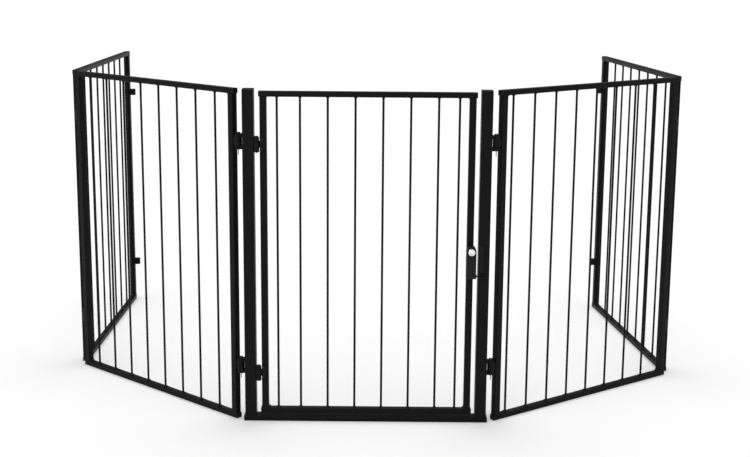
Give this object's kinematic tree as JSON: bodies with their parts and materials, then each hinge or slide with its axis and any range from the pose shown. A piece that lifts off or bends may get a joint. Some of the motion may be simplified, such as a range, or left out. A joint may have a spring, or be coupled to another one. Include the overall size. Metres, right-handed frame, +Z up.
{
  "type": "fireplace screen",
  "caption": "Free-standing steel bar fireplace screen of hinged panels, folded round a hearth, with a latched walk-through gate in the middle panel.",
  "frame": {"origin": "middle of the screen's footprint, on the floor", "axes": "+X to the right along the gate, +Y from the gate back towards the fireplace, +Z up"},
  "size_m": [1.4882, 0.9372, 0.75],
  "materials": {
    "black_powder_coat": "satin black powder coat",
    "black_plastic": "fine matt moulded nylon",
    "zinc_plated_steel": "black-passivated zinc plate",
    "black_pin_steel": "black oxide",
    "button_chrome": "polished cap on the push button",
    "spring_steel": "bright wire"
  },
  "bodies": {
    "gate_frame": {"gate_fold_knuckles": "black_powder_coat", "gate_fold_pins": "black_pin_steel", "gate_hinge_knuckles": "black_powder_coat", "gate_post_caps": "black_plastic", "gate_post_left": "black_powder_coat", "gate_post_right": "black_powder_coat", "gate_sill": "black_powder_coat", "gate_sill_caps": "black_plastic", "latch_keep": "black_plastic", "latch_keep_screws": "black_pin_steel"},
    "gate_door": {"door_bars": "black_powder_coat", "door_bottom_rail": "black_powder_coat", "door_hinge_leaves": "black_powder_coat", "door_hinge_pins": "black_pin_steel", "door_hinge_stile": "black_powder_coat", "door_latch_stile": "black_powder_coat", "door_leaf_screws": "black_pin_steel", "door_rail_caps": "black_plastic", "door_top_rail": "black_powder_coat", "latch_housing": "black_plastic", "latch_back_plate": "black_plastic", "latch_screws": "black_pin_steel"},
    "latch_bolt": {"latch_bolt": "zinc_plated_steel"},
    "latch_button": {"latch_button": "button_chrome", "latch_spring": "spring_steel"},
    "left_side_panel": {"left_side_bars": "black_powder_coat", "left_side_bottom_rail": "black_powder_coat", "left_side_far_knuckles": "black_powder_coat", "left_side_far_stile": "black_powder_coat", "left_side_near_knuckles": "black_powder_coat", "left_side_near_stile": "black_powder_coat", "left_side_rail_caps": "black_plastic", "left_side_top_rail": "black_powder_coat"},
    "right_side_panel": {"right_side_bars": "black_powder_coat", "right_side_bottom_rail": "black_powder_coat", "right_side_far_knuckles": "black_powder_coat", "right_side_far_stile": "black_powder_coat", "right_side_near_knuckles": "black_powder_coat", "right_side_near_stile": "black_powder_coat", "right_side_rail_caps": "black_plastic", "right_side_top_rail": "black_powder_coat"},
    "left_end_panel": {"left_end_bars": "black_powder_coat", "left_end_bottom_rail": "black_powder_coat", "left_end_corner_pins": "black_pin_steel", "left_end_far_stile": "black_powder_coat", "left_end_near_knuckles": "black_powder_coat", "left_end_near_stile": "black_powder_coat", "left_end_rail_caps": "black_plastic", "left_end_top_rail": "black_powder_coat", "left_end_wall_lugs": "black_powder_coat"},
    "right_end_panel": {"right_end_bars": "black_powder_coat", "right_end_bottom_rail": "black_powder_coat", "right_end_corner_pins": "black_pin_steel", "right_end_far_stile": "black_powder_coat", "right_end_near_knuckles": "black_powder_coat", "right_end_near_stile": "black_powder_coat", "right_end_rail_caps": "black_plastic", "right_end_top_rail": "black_powder_coat", "right_end_wall_lugs": "black_powder_coat"}
  },
  "joints": [
    {"name": "left_side_fold", "type": "hinge", "parent": "gate_frame", "child": "left_side_panel", "pos_m": [-0.29337, -0.43361, 0.375], "axis": [0, 0, 1], "range_deg": [-22, 38]},
    {"name": "right_side_fold", "type": "hinge", "parent": "gate_frame", "child": "right_side_panel", "pos_m": [0.26563, -0.43361, 0.375], "axis": [0, 0, 1], "range_deg": [-33, 27]},
    {"name": "left_end_fold", "type": "hinge", "parent": "left_side_panel", "child": "left_end_panel", "pos_m": [-0.72925, -0.08355, 0.375], "axis": [0, 0, 1], "range_deg": [-37, 53]},
    {"name": "right_end_fold", "type": "hinge", "parent": "right_side_panel", "child": "right_end_panel", "pos_m": [0.73036, -0.12287, 0.375], "axis": [0, 0, 1], "range_deg": [-65, 25]},
    {"name": "door_swing", "type": "hinge", "parent": "gate_frame", "child": "gate_door", "pos_m": [-0.25267, -0.44611, 0.375], "axis": [0, 0, -1], "range_deg": [0, 110]},
    {"name": "latch_button_push", "type": "slide", "parent": "gate_door", "child": "latch_button", "axis": [0, 1, 0], "range_m": [0, 0.004], "stiffness_N_per_m": 400, "springref_m": -0.002, "deforming": ["latch_spring"]},
    {"name": "latch_bolt_slide", "type": "slide", "parent": "gate_door", "child": "latch_bolt", "axis": [-1, 0, 0], "range_m": [0, 0.004]}
  ],
  "couplings": [
    {"joint": "latch_bolt_slide", "follows": "latch_button_push", "ratio": 1}
  ]
}
